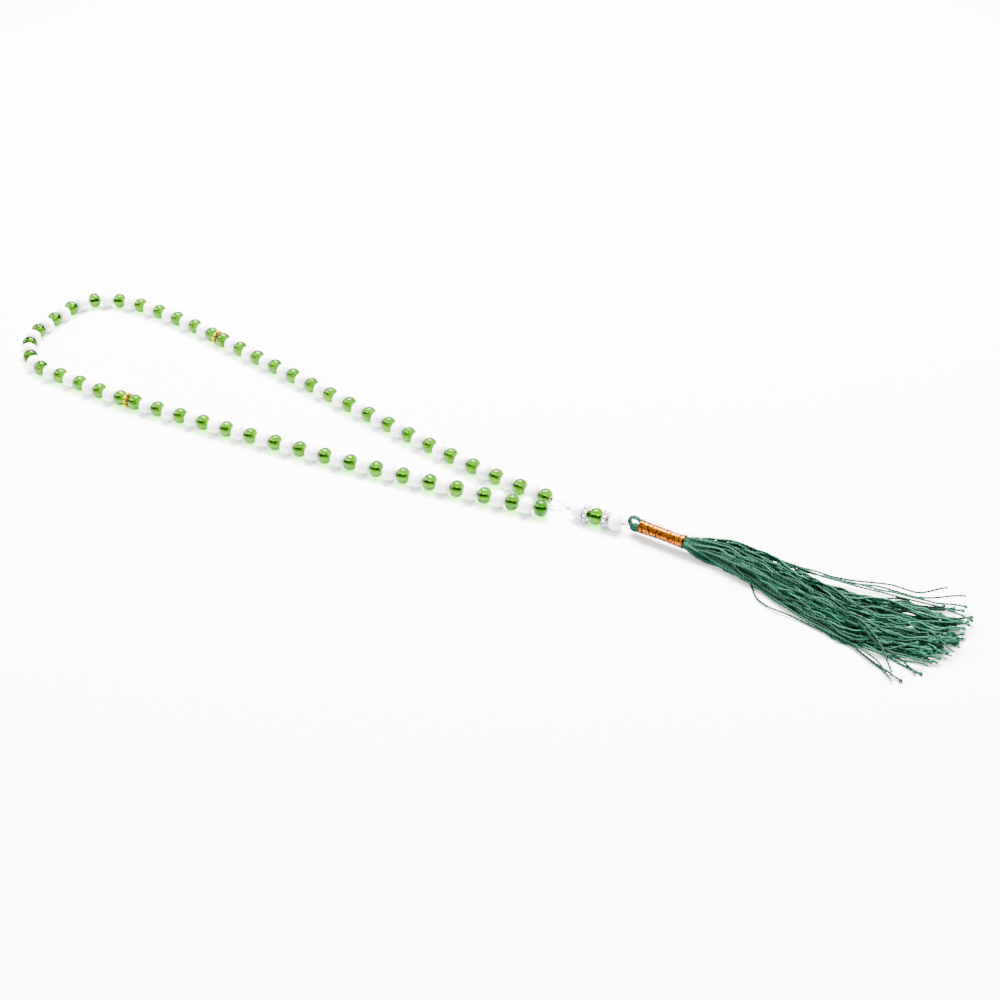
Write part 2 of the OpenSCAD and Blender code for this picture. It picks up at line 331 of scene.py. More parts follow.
def bead_profile(d, length, bore_r):
    """Half a barrel's outline: an arc from mouth to mouth, then eased mouths and the bore."""
    r = length / 2
    arc = [(-r * math.cos(math.radians(a)), d / 2 - r + r * math.sin(math.radians(a)))
           for a in np.linspace(MOUTH_AT, 180 - MOUTH_AT, 17)]
    mouth = [(r * 0.985, bore_r + 0.22), (r * 0.93, bore_r)]
    inner = [(r * 0.5, bore_r), (0, bore_r), (-r * 0.5, bore_r)]
    return arc + mouth + inner + [(-x, radius) for x, radius in reversed(mouth)]


strung, ins, out = node_tree("strung_beads", {
    "Bead": "Object", "Size Spread": "Float", "Seed": "Int", "Glass": "Material"})
heading = add(strung, "GeometryNodeInputNamedAttribute", i0="heading")
spin = add(strung, "FunctionNodeRandomValue", Min=0.0, Max=2 * math.pi, Seed=ins["Seed"])
size = add(strung, "FunctionNodeRandomValue", Min=maths(strung, "SUBTRACT", 1.0, ins["Size Spread"]),
           Max=1.0, Seed=ins["Seed"])
turned = add(strung, "ShaderNodeCombineXYZ", X=spin.outputs[1], Z=heading.outputs[0])
shape = add(strung, "GeometryNodeObjectInfo", Object=ins["Bead"])
placed = add(strung, "GeometryNodeInstanceOnPoints", Points=ins["Geometry"],
             Instance=shape.outputs["Geometry"], Rotation=turned.outputs[0],
             Scale=size.outputs[1])
end_tree(strung, out, placed.outputs[0], ins["Glass"])


def string_beads(name, places, bead, spread, seed, material):
    """Beads at these (middle, heading) places as one mesh, each turned at random about the thread."""
    base = mesh_object(name + "_places", [Vector(middle) * MM for middle, _ in places])
    mark(base, "heading", [heading for _, heading in places])
    return grown(name, strung, base, {
        "Bead": bead, "Size Spread": spread, "Seed": seed, "Glass": material})


def strand_places(stations):
    """The middles and headings of these stations."""
    return [(on_bore(i, 0), STRAND[i][2]) for i in stations]


def finish_group(name, inputs):
    """A new shared finish: its tree, what it is given, what it gives, and the place on the piece."""
    tree = bpy.data.node_groups.new(name, "ShaderNodeTree")
    for label, value in inputs.items():
        kind = "Color" if isinstance(value, tuple) else "Float"
        made = tree.interface.new_socket(label, in_out="INPUT", socket_type="NodeSocket" + kind)
        made.default_value = value
    for label, kind in (("Color", "Color"), ("Roughness", "Float"), ("Height", "Float")):
        tree.interface.new_socket(label, in_out="OUTPUT", socket_type="NodeSocket" + kind)
    given, give = tree.nodes.new("NodeGroupInput").outputs, tree.nodes.new("NodeGroupOutput").inputs
    return tree, given, give, add(tree, "ShaderNodeTexCoord").outputs["Object"]


def give_finish(tree, give, mask, colours, roughs, height):
    """Ends a shared finish: its mask goes from the first colour and roughness to the second."""
    mix = add(tree, "ShaderNodeMix", {"data_type": "RGBA"}, i0=mask, i6=colours[0], i7=colours[1])
    rough = add(tree, "ShaderNodeMapRange", Value=mask, To_Min=roughs[0], To_Max=roughs[1])
    wire(tree, mix.outputs[2], give["Color"])
    wire(tree, rough.outputs[0], give["Roughness"])
    wire(tree, height, give["Height"])
    return tree


def uneven_group():
    """Cloudy change between two colours, with its own change of roughness and a fine height."""
    tree, given, give, place = finish_group("uneven_finish", {
        "Color A": (1, 1, 1, 1), "Color B": (1, 1, 1, 1), "Scale": 300.0, "Low": 0.35, "High": 0.65,
        "Roughness A": 0.1, "Roughness B": 0.2, "Grain": 2000.0})
    cloud = add(tree, "ShaderNodeTexNoise", Vector=place, Scale=given["Scale"], Detail=4.0)
    mask = add(tree, "ShaderNodeMapRange", {"interpolation_type": "SMOOTHSTEP"},
               Value=cloud.outputs[0], From_Min=given["Low"], From_Max=given["High"])
    grain = add(tree, "ShaderNodeTexNoise", Vector=place, Scale=given["Grain"], Detail=2.0)
    return give_finish(tree, give, mask.outputs[0], (given["Color A"], given["Color B"]),
                       (given["Roughness A"], given["Roughness B"]), grain.outputs[0])


UNEVEN = uneven_group()


def finish_with(material, group, bump, distance, **values):
    """Feeds a material's colour, roughness and bump from a shared group with its own values."""
    tree, shader, _ = nodes_of(material)
    effect = add(tree, "ShaderNodeGroup", {"node_tree": group})
    for name, value in values.items():
        wire(tree, value, effect.inputs[name.replace("_", " ")])
    wire(tree, effect.outputs["Color"], shader.inputs["Base Color"])
    wire(tree, effect.outputs["Roughness"], shader.inputs["Roughness"])
    relief = add(tree, "ShaderNodeBump", Strength=bump, Distance=distance,
                 Height=effect.outputs["Height"])
    wire(tree, relief.outputs[0], shader.inputs["Normal"])
    return tree, shader


def let_lamps_through(material, tint):
    """Rays from lamps pass a clear material with that tint, as they do through real glass."""
    tree, shader, output = nodes_of(material)
    clear = add(tree, "ShaderNodeBsdfTransparent", Color=tint)
    path = add(tree, "ShaderNodeLightPath")
    both = add(tree, "ShaderNodeMixShader", i0=path.outputs["Is Shadow Ray"],
               i1=shader.outputs[0], i2=clear.outputs[0])
    wire(tree, both.outputs[0], output.inputs["Surface"])


green_glass = bpy.data.materials.new("green_glass")
_, green_shader = finish_with(
    green_glass, UNEVEN, 0.05, 0.00002, Color_A=(0.013, 0.062, 0.0003, 1),
    Color_B=(0.026, 0.092, 0.0006, 1),
    Scale=420.0, Roughness_A=0.02, Roughness_B=0.05, Grain=900.0)
green_shader.inputs["Transmission Weight"].default_value = 1
green_shader.inputs["IOR"].default_value = 1.5
green_shader.inputs["Specular Tint"].default_value = (0.14, 0.30, 0.08, 1)
let_lamps_through(green_glass, (0.36, 0.68, 0.2, 1))

GREEN_SEED, WHITE_SEED = 11, 29
SIZE_SPREAD = 0.012
BEAD_SIDES = 32
bead_blank = lathe("bead_blank", bead_profile(BEAD_D, BEAD_L, BORE_R), BEAD_SIDES)
for span, (first, last) in SPANS.items():
    stations = [i for i in range(first, last + 1) if is_green(i) and i not in (0, LAST)]
    beads = string_beads(span + "_green_glass", strand_places(stations), bead_blank, SIZE_SPREAD,
                         GREEN_SEED + first, green_glass)
    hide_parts(span + "_green_beads")
    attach(beads, span)
for body, station in (("front_end_bead", 0), ("back_end_bead", LAST)):
    bead = string_beads(body + "_glass", strand_places([station]), bead_blank, 0.0, GREEN_SEED,
                        green_glass)
    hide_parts(body)
    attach(bead, body)

# ---------------------------------------------------------------------------------------------
# Counting beads, white. The same pressing in opaque milk glass, polished, one between each two green
# ones. Light sinks a little way into them.

milk_glass = bpy.data.materials.new("milk_glass")
_, milk_shader = finish_with(
    milk_glass, UNEVEN, 0.04, 0.00002, Color_A=(0.955, 0.965, 0.96, 1), Color_B=(0.985, 0.99, 0.985, 1),
    Scale=260.0, Roughness_A=0.08, Roughness_B=0.16, Grain=1200.0)
milk_shader.inputs["Subsurface Weight"].default_value = 0.6
milk_shader.inputs["Subsurface Radius"].default_value = (1, 1, 1)
milk_shader.inputs["Subsurface Scale"].default_value = 0.0025
milk_shader.inputs["Coat Weight"].default_value = 0.5
milk_shader.inputs["Coat Roughness"].default_value = 0.05

for span, (first, last) in SPANS.items():
    stations = [i for i in range(first, last + 1) if not is_green(i) and i not in SPACER_AT]
    beads = string_beads(span + "_milk_glass", strand_places(stations), bead_blank, SIZE_SPREAD,
                         WHITE_SEED + first, milk_glass)
    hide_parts(span + "_white_beads")
    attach(beads, span)

# ---------------------------------------------------------------------------------------------
# Gilt spacers. A cast and gilded disc between each two sets: ten balls round a waisted hub, with a
# row of fine granules on each face. The gold is left bright on the balls' tops and painted brown as
# shade between them, at their feet and on the hub; fine rubbing marks vary it all over.

ringed, ins, out = node_tree("ring_of_parts", {
    "Part": "Object", "Count": "Int", "Radius": "Float", "Start": "Float", "Metal": "Material"})
marks = add(ringed, "GeometryNodePoints", Count=ins["Count"])
share = maths(ringed, "DIVIDE", add(ringed, "GeometryNodeInputIndex").outputs[0], ins["Count"])
about_x = add(ringed, "ShaderNodeCombineXYZ",
              X=maths(ringed, "MULTIPLY_ADD", share, 2 * math.pi, ins["Start"]))
part = add(ringed, "GeometryNodeObjectInfo", Object=ins["Part"])
outward = add(ringed, "ShaderNodeCombineXYZ", Z=ins["Radius"])
stood = add(ringed, "GeometryNodeTransform", Geometry=part.outputs["Geometry"],
            Translation=outward.outputs[0])
ring = add(ringed, "GeometryNodeInstanceOnPoints", Points=marks.outputs[0],
           Instance=stood.outputs[0], Rotation=about_x.outputs[0])
both = add(ringed, "GeometryNodeJoinGeometry")
ringed.links.new(ins["Geometry"], both.inputs[0])
ringed.links.new(ring.outputs[0], both.inputs[0])
end_tree(ringed, out, both.outputs[0], ins["Metal"])


def smooth(value, low, high):
    """Rises gently from 0 at the low value to 1 at the high one."""
    t = min(max((value - low) / (high - low), 0.0), 1.0)
    return t * t * (3 - 2 * t)


def granule(name, radius):
    """A ball of a cast ring, with painted shade at its sides and foot, where it meets its neighbours."""
    rings, sides = 9, 14
    points = [(0, 0, -radius)]
    for n in range(1, rings):
        a = math.pi * n / rings
        for k in range(sides):
            b = 2 * math.pi * k / sides
            points.append((radius * math.sin(a) * math.cos(b), radius * math.sin(a) * math.sin(b),
                           -radius * math.cos(a)))
    points.append((0, 0, radius))
    faces = [(0, 1 + (k + 1) % sides, 1 + k) for k in range(sides)]
    for n in range(rings - 2):
        low = 1 + n * sides
        faces += [(low + k, low + (k + 1) % sides, low + sides + (k + 1) % sides, low + sides + k)
                  for k in range(sides)]
    top = len(points) - 1
    last = 1 + (rings - 2) * sides
    faces += [(top, last + k, last + (k + 1) % sides) for k in range(sides)]
    made = mesh_object(name, [Vector(p) * MM for p in points], faces)
    made.data.shade_smooth()
    # Painted shade: the sides that face the next balls and the foot towards the hub are marked dark.
    mark(made, "crevice", [
        max(smooth(abs(p[1]) / radius, 0.55, 0.98), smooth(-p[2] / radius, -0.1, 0.6)) for p in points])
    return made


def station_matrix(place, heading):
    """From a piece's own frame, bored along X, to its place on the strand."""
    return Matrix.Translation(Vector(place) * MM) @ Matrix.Rotation(heading, 4, "Z")


def spread_about(base, placed_parts, metal):
    """Adds rings of parts to a base, one after another: (part, count, radius, start, along X)."""
    name, made = base.name, base
    for part_object, count, radius, start, along in placed_parts:
        made.data.transform(Matrix.Translation((-along * MM, 0, 0)))
        made = grown(name, ringed, made, {
            "Part": part_object, "Count": count, "Radius": radius * MM, "Start": start,
            "Metal": metal})
        made.data.transform(Matrix.Translation((along * MM, 0, 0)))
    return made


def metal_group():
    """Bright metal darkened where its mesh is marked, as painted shade and worn flecks, with fine rubbing
    marks.
    """
    tree, given, give, place = finish_group("worn_metal", {
        "Bright": (1, 1, 1, 1), "Dark": (0, 0, 0, 1), "Tarnish": 1.0, "Roughness A": 0.15,
        "Roughness B": 0.5, "Scale": 900.0})
    crevice = add(tree, "ShaderNodeAttribute", {"attribute_name": "crevice"}).outputs["Fac"]
    rub = add(tree, "ShaderNodeTexNoise", Vector=place, Scale=given["Scale"], Detail=5.0)
    mask = add(tree, "ShaderNodeMapRange", {"interpolation_type": "SMOOTHSTEP"},
               Value=maths(tree, "MULTIPLY_ADD", rub.outputs[0], 0.5, crevice),
               From_Min=0.4, From_Max=1.1, To_Max=given["Tarnish"])
    return give_finish(tree, give, mask.outputs[0], (given["Bright"], given["Dark"]),
                       (given["Roughness A"], given["Roughness B"]), rub.outputs[0])


WORN_AND_SHADED_METAL = metal_group()
# The dark colour is painted shade between the balls and on the hub, with a little rubbed wear.
gilt = bpy.data.materials.new("gilt")
_, gilt_shader = finish_with(
    gilt, WORN_AND_SHADED_METAL, 0.08, 0.00003, Bright=(0.46, 0.28, 0.008, 1), Dark=(0.07, 0.03, 0.002, 1),
    Tarnish=0.95, Roughness_A=0.16, Roughness_B=0.42)
gilt_shader.inputs["Metallic"].default_value = 1

BALL_R = SPACER_T / 2
BALLS = 10
GRANULES = 16
GRANULE_RING_R = 1.85
FACE_X = 0.5
half_hub = [(-FACE_X, 0.72), (-0.62, 0.85), (-0.62, 1.25), (-FACE_X, 1.45), (-0.42, 2.2), (-0.5, 2.6),
            (-0.3, 3.1)]
hub_profile = half_hub + [(-x, r) for x, r in reversed(half_hub)]
spacer_ball = granule("spacer_ball", BALL_R)
spacer_granule = granule("spacer_granule", 0.3)
for station, side in zip(SPACER_AT, ("front", "back")):
    name, body = side + "_spacer_gilt", side + "_gilt_spacer"
    hub = lathe(name, hub_profile, 40)
    # The hub, sunk between the balls, is marked mostly dark as painted shade.
    mark(hub, "crevice", 0.75)
    spacer = spread_about(hub, [
        (spacer_ball, BALLS, BEAD_D / 2 - BALL_R, 0.0, 0.0),
        (spacer_granule, GRANULES, GRANULE_RING_R, 0.1, -FACE_X),
        (spacer_granule, GRANULES, GRANULE_RING_R, 0.1, FACE_X)], gilt)
    spacer.name = name
    spacer.data.transform(station_matrix(on_bore(station, 0), STRAND[station][2]))
    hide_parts(body)
    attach(spacer, body)

# ---------------------------------------------------------------------------------------------
# The thread. Half-millimetre clear nylon line runs through every bead of the loop, shows bare for
# about 12 mm at each end, and both ends meet in a small overhand knot.


def even_path(tree, ins):
    """A base's edges as smooth curves with a point at every step."""
    path = add(tree, "GeometryNodeMeshToCurve", Mesh=ins["Geometry"])
    eased = add(tree, "GeometryNodeCurveSplineType", {"spline_type": "CATMULL_ROM"},
                Curve=path.outputs[0])
    even = add(tree, "GeometryNodeResampleCurve", {"mode": "LENGTH"}, Curve=eased.outputs[0],
               Length=ins["Step"])
    return even.outputs[0]


def sweep(tree, ins, out, curve, section, size):
    """Ends a tree: a section swept along its curves, capped, smooth and in its finish."""
    swept = add(tree, "GeometryNodeCurveToMesh", Curve=curve, Profile_Curve=section, Scale=size,
                Fill_Caps=True)
    soft = add(tree, "GeometryNodeSetShadeSmooth", i0=swept.outputs[0])
    end_tree(tree, out, soft.outputs[0], ins["Finish"])


lined, ins, out = node_tree("line_along_path", {
    "Line Radius": "Float", "Step": "Float", "Sides": "Int", "Finish": "Material"})
section = add(lined, "GeometryNodeCurvePrimitiveCircle", {"mode": "RADIUS"}, Resolution=ins["Sides"],
              Radius=ins["Line Radius"])
thick = add(lined, "GeometryNodeInputNamedAttribute", i0="thick")
sweep(lined, ins, out, even_path(lined, ins), section.outputs[0], thick.outputs[0])


def chains(name, lines, thick=None, closed=False, shades=None):
    """Several lines of points, in millimetres, as one mesh of edges with a thickness share."""
    points, edges, shares, tones = [], [], [], []
    for n, line in enumerate(lines):
        first = len(points)
        points += [Vector(p) * MM for p in line]
        edges += [(first + k, first + k + 1) for k in range(len(line) - 1)]
        if closed:
            edges.append((len(points) - 1, first))
        shares += [1.0] * len(line) if thick is None else list(thick[n])
        tones += [0.5 if shades is None else shades[n]] * len(line)
    base = mesh_object(name + "_path", points, edges=edges)
    mark(base, "thick", shares)
    mark(base, "shade", tones)
    return base


def nylon_line(name, lines, radius, step, sides, body, node, closed=False):
    """Clear line swept along these paths, riding on a body in place of its CAD node."""
    made = grown(name, lined, chains(name, lines, closed=closed), {
        "Line Radius": radius * MM, "Step": step * MM, "Sides": sides, "Finish": clear_nylon})
    if node:
        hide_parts(node)
    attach(made, body)
    return made


clear_nylon = bpy.data.materials.new("clear_nylon")
_, nylon_shader = finish_with(
    clear_nylon, UNEVEN, 0.05, 0.00002, Color_A=(0.34, 0.31, 0.30, 1), Color_B=(0.50, 0.47, 0.46, 1),
    Scale=700.0, Roughness_A=0.04, Roughness_B=0.12, Grain=3000.0)
nylon_shader.inputs["Transmission Weight"].default_value = 1
nylon_shader.inputs["IOR"].default_value = 1.53
let_lamps_through(clear_nylon, (0.8, 0.78, 0.78, 1))

BARE_OUT = BEAD_L / 2 + 4
KNOT_R = 1.2
TOUCH = 0.05
OPEN_PIVOT = 0.3


def ahead(i):
    """Along a station's bore, from its middle to the thread's bend after it."""
    return (reach(i, TURNS[i] / 2) + gap_after(i) / 2) / math.cos(TURNS[i] / 2)


def behind(i):
    """Along a station's bore, from the thread's bend before it to its middle."""
    return (reach(i, TURNS[i - 1] / 2) + gap_after(i - 1) / 2) / math.cos(TURNS[i - 1] / 2)


def toward_knot(point, stop):
    """The point on the way from the knot to that point, at that distance from the knot."""
    away = Vector(point) - KNOT
    return tuple(KNOT + away.normalized() * stop)


for span, (first, last) in SPANS.items():
    route = [on_bore(i, ahead(i)) for i in range(first, last)]
    if first == 0:
        bare = on_bore(0, -BARE_OUT)
        route = [toward_knot(bare, KNOT_R + TOUCH), bare, on_bore(0, 0)] + route
    else:
        route = [on_bore(first, TOUCH - behind(first)), on_bore(first, 0)] + route
    if last == LAST:
        bare = on_bore(LAST, BARE_OUT)
        route += [on_bore(LAST, 0), bare, toward_knot(bare, KNOT_R + OPEN_PIVOT)]
    else:
        route += [on_bore(last, 0), on_bore(last, ahead(last) - TOUCH)]
    nylon_line(span + "_nylon", [route], THREAD_R, 1.1, 10, span, span + "_thread")


def overhand(middle, size, flat, turn):
    """The closed run of a tight overhand knot about a point."""
    line = []
    for k in range(36):
        t = 2 * math.pi * k / 36
        p = Vector((math.sin(t) + 2 * math.sin(2 * t), math.cos(t) - 2 * math.cos(2 * t),
                    -flat * math.sin(3 * t))) * size / 3
        line.append(tuple(Vector(middle) + Matrix.Rotation(turn, 3, "X") @ p))
    return line


nylon_line("strand_knot_nylon", [overhand(KNOT, KNOT_R * 0.82, 1.9, 0.5)], 0.27, 0.12, 10,
           "first_set_a", "strand_knot", closed=True)

# ---------------------------------------------------------------------------------------------
# The tail. Both ends of the thread go on side by side through a small white bead, a rondelle, a
# green bead, a second rondelle and a full-sized white bead, to a small end knot.

TAIL_AXIS = Vector(JOINTS["tail_green_spin"]["axis"])
TAIL_HEADING = math.atan2(TAIL_AXIS.y, TAIL_AXIS.x)
TAIL_ACROSS = Vector((-TAIL_AXIS.y, TAIL_AXIS.x, 0))
END_KNOT = pivot("tassel_lift")
SMALL_D = 6.4

tail_lines = []
for side in (-1, 1):
    tail_lines.append([
        tuple(KNOT + TAIL_AXIS * d + TAIL_ACROSS * side * (THREAD_R + 0.02)
              + Vector((0, 0, 0.06 * side * math.sin(d))))
        for d in np.linspace(KNOT_R * 0.85, (END_KNOT - KNOT).length - 0.2, 15)])
tail_lines.append(overhand(END_KNOT, 0.42, 1.6, 1.1) + [tuple(END_KNOT)])
nylon_line("tail_nylon", tail_lines, THREAD_R, 0.4, 10, "tail", "tail_thread")

small_blank = lathe("small_blank", bead_profile(SMALL_D, SMALL_D * 0.9, BORE_R), BEAD_SIDES)
for body, joint, node, blank, glass, finish in (
        ("tail_small_bead", "small_bead_spin", "tail_small_white_bead", small_blank,
         milk_glass, "milk_glass"),
        ("tail_green_bead", "tail_green_spin", "tail_green_bead", bead_blank,
         green_glass, "green_glass"),
        ("tail_large_bead", "large_bead_spin", "tail_large_white_bead", bead_blank,
         milk_glass, "milk_glass")):
    bead = string_beads(node + "_glass", [(pivot(joint), TAIL_HEADING)], blank, 0.0, 3, glass)
    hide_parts(node)
    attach(bead, body)

# ---------------------------------------------------------------------------------------------
# Rondelles. Silver plate over brass: two thin plates with scalloped rims stand on a tube, and ten
# square-cut crystals sit between them. A bar and two round prongs part each stone from the next.

STONES = 10
RONDELLE_R = 3.9
HALF_STONE_TURN = math.pi / STONES
PLATE_IN, PLATE_OUT = 0.85, 1.2


def scalloped(r, a):
    """The plates' rims swell over each stone."""
    return 1 - 0.03 * smooth(r, 2.6, 3.6) * math.cos(STONES * a)


# Half the section of the two plates and their tube: along the bore from the middle, and radius.
half_plate = [(0.4, 0.7), (PLATE_OUT, 0.75), (PLATE_OUT, 1.7), (1.12, 1.95), (1.12, 3.25),
              (PLATE_OUT, 3.4), (PLATE_OUT, RONDELLE_R - 0.1), (1.12, RONDELLE_R),
              (0.93, RONDELLE_R), (PLATE_IN, RONDELLE_R - 0.1), (PLATE_IN, 1.9)]
plates = [(-x, r) for x, r in half_plate] + half_plate[::-1]


def cut_stone():
    """A square-cut crystal with its corners off, its table facing out from the tube."""
    points, faces = [], []
    for z, half, cut in ((2.05, 0.3, 0.08), (2.7, 0.82, 0.2), (3.0, 0.84, 0.22),
                         (3.5, 0.74, 0.2), (3.82, 0.5, 0.14)):
        side = half - cut
        points += [(half, -side, z), (half, side, z), (side, half, z), (-side, half, z),
                   (-half, side, z), (-half, -side, z), (-side, -half, z), (side, -half, z)]
    for low in range(0, len(points) - 8, 8):
        faces += [(low + k, low + (k + 1) % 8, low + 8 + (k + 1) % 8, low + 8 + k)
                  for k in range(8)]
    faces.append(tuple(range(7, -1, -1)))
    faces.append(tuple(range(len(points) - 8, len(points))))
    made = mesh_object("cut_stone", [Vector(p) * MM for p in points], faces)
    mark(made, "crevice", 0.0)
    return made


# Its dark colour is painted shade, put between the plates, on the bars and on the prongs' sides.
silver_plate = bpy.data.materials.new("silver_plate")
_, silver_shader = finish_with(
    silver_plate, WORN_AND_SHADED_METAL, 0.05, 0.00002, Bright=(0.34, 0.34, 0.36, 1),
    Dark=(0.012, 0.012, 0.014, 1), Tarnish=0.95, Roughness_A=0.12, Roughness_B=0.3)
silver_shader.inputs["Metallic"].default_value = 1

crystal = bpy.data.materials.new("crystal")
_, crystal_shader = finish_with(
    crystal, UNEVEN, 0.02, 0.00001, Color_A=(0.93, 0.94, 0.97, 1), Color_B=(0.99, 0.99, 1.0, 1),
    Scale=500.0, Roughness_A=0.0, Roughness_B=0.03, Grain=900.0)
crystal_shader.inputs["Transmission Weight"].default_value = 0.35
crystal_shader.inputs["IOR"].default_value = 1.75
let_lamps_through(crystal, (0.86, 0.87, 0.9, 1))

prong = granule("prong", 0.26)
bar = lathe("rondelle_bar", [
    (-PLATE_IN, 0.02), (-PLATE_IN, 0.26), (PLATE_IN, 0.26), (PLATE_IN, 0.02)], 12)
# The bars between the stones are marked wholly dark, as painted shade.
mark(bar, "crevice", 1.0)
stone = cut_stone()
for n in (1, 2):
    body = f"rondelle_{n}"
    lies = station_matrix(pivot(body + "_spin"), TAIL_HEADING)
    ring = lathe(body + "_silver", plates, 80, scalloped)
    ring.data.set_sharp_from_angle(angle=math.radians(38))
    # Painted shade: the plates' inner faces and the tube between them are marked dark, the outer faces a
    # little.
    mark(ring, "crevice", [1.0 if abs(v.co.x) < 0.95 * MM else 0.35 for v in ring.data.vertices])
    ring = spread_about(ring, [
        (bar, STONES, 3.5, HALF_STONE_TURN, 0.0),
        (prong, STONES, 3.76, HALF_STONE_TURN, -0.86),
        (prong, STONES, 3.76, HALF_STONE_TURN, 0.86)], silver_plate)
    stones = spread_about(
        mesh_object(body + "_crystal", []), [(stone, STONES, 0.0, 0.0, 0.0)], crystal)
    for made, node, finish in ((ring, "ring", "silver_plate"), (stones, "stones", "crystal")):
        made.data.transform(lies)
        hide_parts(f"tail_rondelle_{n}_{node}")
        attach(made, body)
for spent in (bead_blank, small_blank, spacer_ball, spacer_granule, prong, bar, stone):
    bpy.data.objects.remove(spent)

# ---------------------------------------------------------------------------------------------
# Thread link. Past the end knot the thread makes a small double loop, which rises to the tassel's
# eye: it hinges at the knot, and the eye turns in it.

LINK_TURN = math.radians(30)
link_half = [(0.3, 0.14), (0.9, 0.72), (1.7, 1.3), (2.5, 1.5), (3.3, 1.22), (3.8, 0.6), (3.93, 0.0)]
LINK_RISE = math.radians(25)
link_turns = []
for tilt, wide in ((-0.2, 1.0), (0.16, 0.93)):
    loop = link_half + [(x, -y) for x, y in reversed(link_half[:-1])]
    link_turns.append([
        tuple(END_KNOT + Matrix.Rotation(LINK_TURN, 3, "Z") @ Matrix.Rotation(-LINK_RISE, 3, "Y")
              @ Matrix.Rotation(tilt, 3, "X") @ Vector((x, y * wide, 0))) for x, y in loop])
nylon_line("thread_link_nylon", link_turns, THREAD_R, 0.2, 10, "thread_link", "thread_link")

# ---------------------------------------------------------------------------------------------
# Tassel string. Two plies of spun viscose, about 0.9 mm thick and dyed a deep blue-green; the twist
# stands up as a ridge. Every piece of the tassel but the foil is made of it.

EYE_BAR = pivot("tassel_swing")
NECK_END = pivot("skirt_bend")
STRING_D = 0.86
PITCH = 3.6


def drawn_section(tree, ins):
    """A tree's section object as a curve, and its half width by the path's thickness share."""
    section = add(tree, "GeometryNodeMeshToCurve",
                  Mesh=add(tree, "GeometryNodeObjectInfo", Object=ins["Section"]).outputs["Geometry"])
    thick = add(tree, "GeometryNodeInputNamedAttribute", i0="thick").outputs[0]
    return section.outputs[0], maths(tree, "MULTIPLY", ins["Half Width"], thick)


def eight_sided(name, outline, groove):
    """A section of eight points to sweep, with a groove number for each."""
    made = mesh_object(name, [(x, y, 0) for x, y in outline],
                       edges=[(k, (k + 1) % 8) for k in range(8)])
    mark(made, "groove", groove)
    return made


plied, ins, out = node_tree("plied_string", {
    "Section": "Object", "Half Width": "Float", "Pitch": "Float", "Step": "Float",
    "Finish": "Material"})
run = add(plied, "GeometryNodeSplineParameter").outputs["Length"]
twist = maths(plied, "MULTIPLY", maths(plied, "DIVIDE", run, ins["Pitch"]), 2 * math.pi)
turned = add(plied, "GeometryNodeSetCurveTilt", Curve=even_path(plied, ins), Tilt=twist)
sweep(plied, ins, out, turned.outputs[0], *drawn_section(plied, ins))

two_plies = [(1, 0), (0.72, 0.76), (0, 0.6), (-0.72, 0.76), (-1, 0), (-0.72, -0.76), (0, -0.6),
             (0.72, -0.76)]
ply_section = eight_sided("ply_section", two_plies, [1.0 if x == 0 else 0.0 for x, _ in two_plies])


def yarn_group():
    """Spun string: dark in the groove between the plies as painted shade, paler along them, each string a
    little different.
    """
    tree, given, give, place = finish_group("spun_string", {
        "Pale": (1, 1, 1, 1), "Deep": (0, 0, 0, 1), "Fibre": 6000.0, "Roughness A": 0.5,
        "Roughness B": 0.75})
    fibre = add(tree, "ShaderNodeTexNoise", Vector=place, Scale=given["Fibre"], Detail=3.0)
    patch = add(tree, "ShaderNodeTexNoise", Vector=place, Scale=140.0, Detail=2.0)
    groove = add(tree, "ShaderNodeAttribute", {"attribute_name": "groove"}).outputs["Fac"]
    light = add(tree, "ShaderNodeAttribute", {"attribute_name": "shade"}).outputs["Fac"]
    # The groove between the plies is painted dark, as shade.
    for effect, strength in ((fibre.outputs[0], 0.5), (patch.outputs[0], 0.3), (groove, -0.55)):
        light = maths(tree, "MULTIPLY_ADD", effect, strength, light)
    tone = add(tree, "ShaderNodeMapRange", {"interpolation_type": "SMOOTHSTEP"}, Value=light,
               From_Min=0.2, From_Max=1.35)
    return give_finish(tree, give, tone.outputs[0], (given["Deep"], given["Pale"]),
                       (given["Roughness B"], given["Roughness A"]), fibre.outputs[0])


tassel_string = bpy.data.materials.new("tassel_string")
_, string_shader = finish_with(
    tassel_string, yarn_group(), 0.25, 0.00004, Pale=(0.0075, 0.084, 0.042, 1),
    Deep=(0.0007, 0.012, 0.006, 1))
string_shader.inputs["Specular IOR Level"].default_value = 0.12


def string_mesh(name, lines, d, step, thick=None, shades=None):
    """Plied string swept along these lines of points, in millimetres, as one mesh."""
    return grown(name, plied, chains(name, lines, thick, shades=shades), {
        "Section": ply_section, "Half Width": d / 2 * MM, "Pitch": PITCH * d / STRING_D * MM,
        "Step": step * MM, "Finish": tassel_string})


def on_tassel(points):
    """From the tassel's own frame, along its neck from the eye, to the frame of the whole part."""
    along = (NECK_END - EYE_BAR).to_2d().normalized()
    return [(EYE_BAR.x + x * along.x - y * along.y, EYE_BAR.y + x * along.y + y * along.x, z)
            for x, y, z in points]


# ---------------------------------------------------------------------------------------------
# Eye. The strings are folded over at the tassel's head: one cord stands up as the ring that the
# thread link holds, and the rest make a short lobe of turns beneath its hole.

NECK_X, NECK_L, NECK_Z = 5.2, 21.8, NECK_END.z


